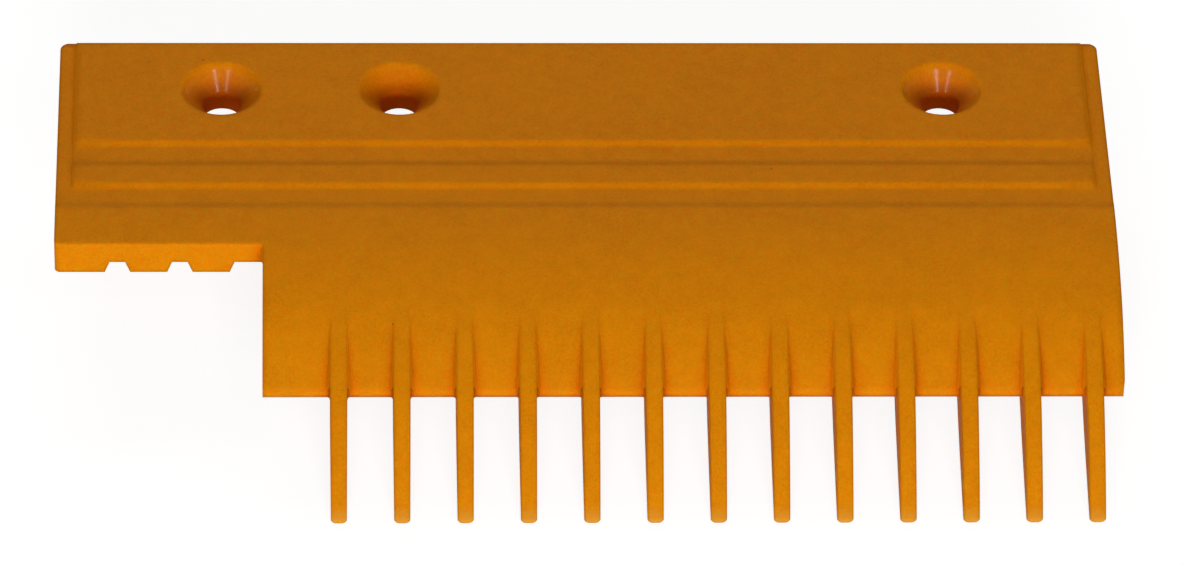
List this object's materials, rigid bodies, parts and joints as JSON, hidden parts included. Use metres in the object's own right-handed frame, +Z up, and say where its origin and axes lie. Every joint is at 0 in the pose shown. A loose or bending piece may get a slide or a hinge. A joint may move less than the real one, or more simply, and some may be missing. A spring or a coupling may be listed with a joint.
{
  "type": "escalator comb plate",
  "caption": "Left-end escalator comb plate: teeth on a curved-down front mesh with the step cleats, and a flat, countersunk back screws to the landing.",
  "frame": {"origin": "on the flat seat under the plate, on the line of the screw holes, at the middle of the width", "axes": "+X along the width to the right-hand edge, +Y to the back edge with the teeth towards -Y, +Z up through the screw holes, out of the tread side"},
  "size_m": [0.1544, 0.0841, 0.0208],
  "materials": {
    "moulded_plastic": "satin, orange-amber, moulded right through in one colour"
  },
  "bodies": {
    "root": {"comb_plate": "moulded_plastic"}
  },
  "joints": []
}
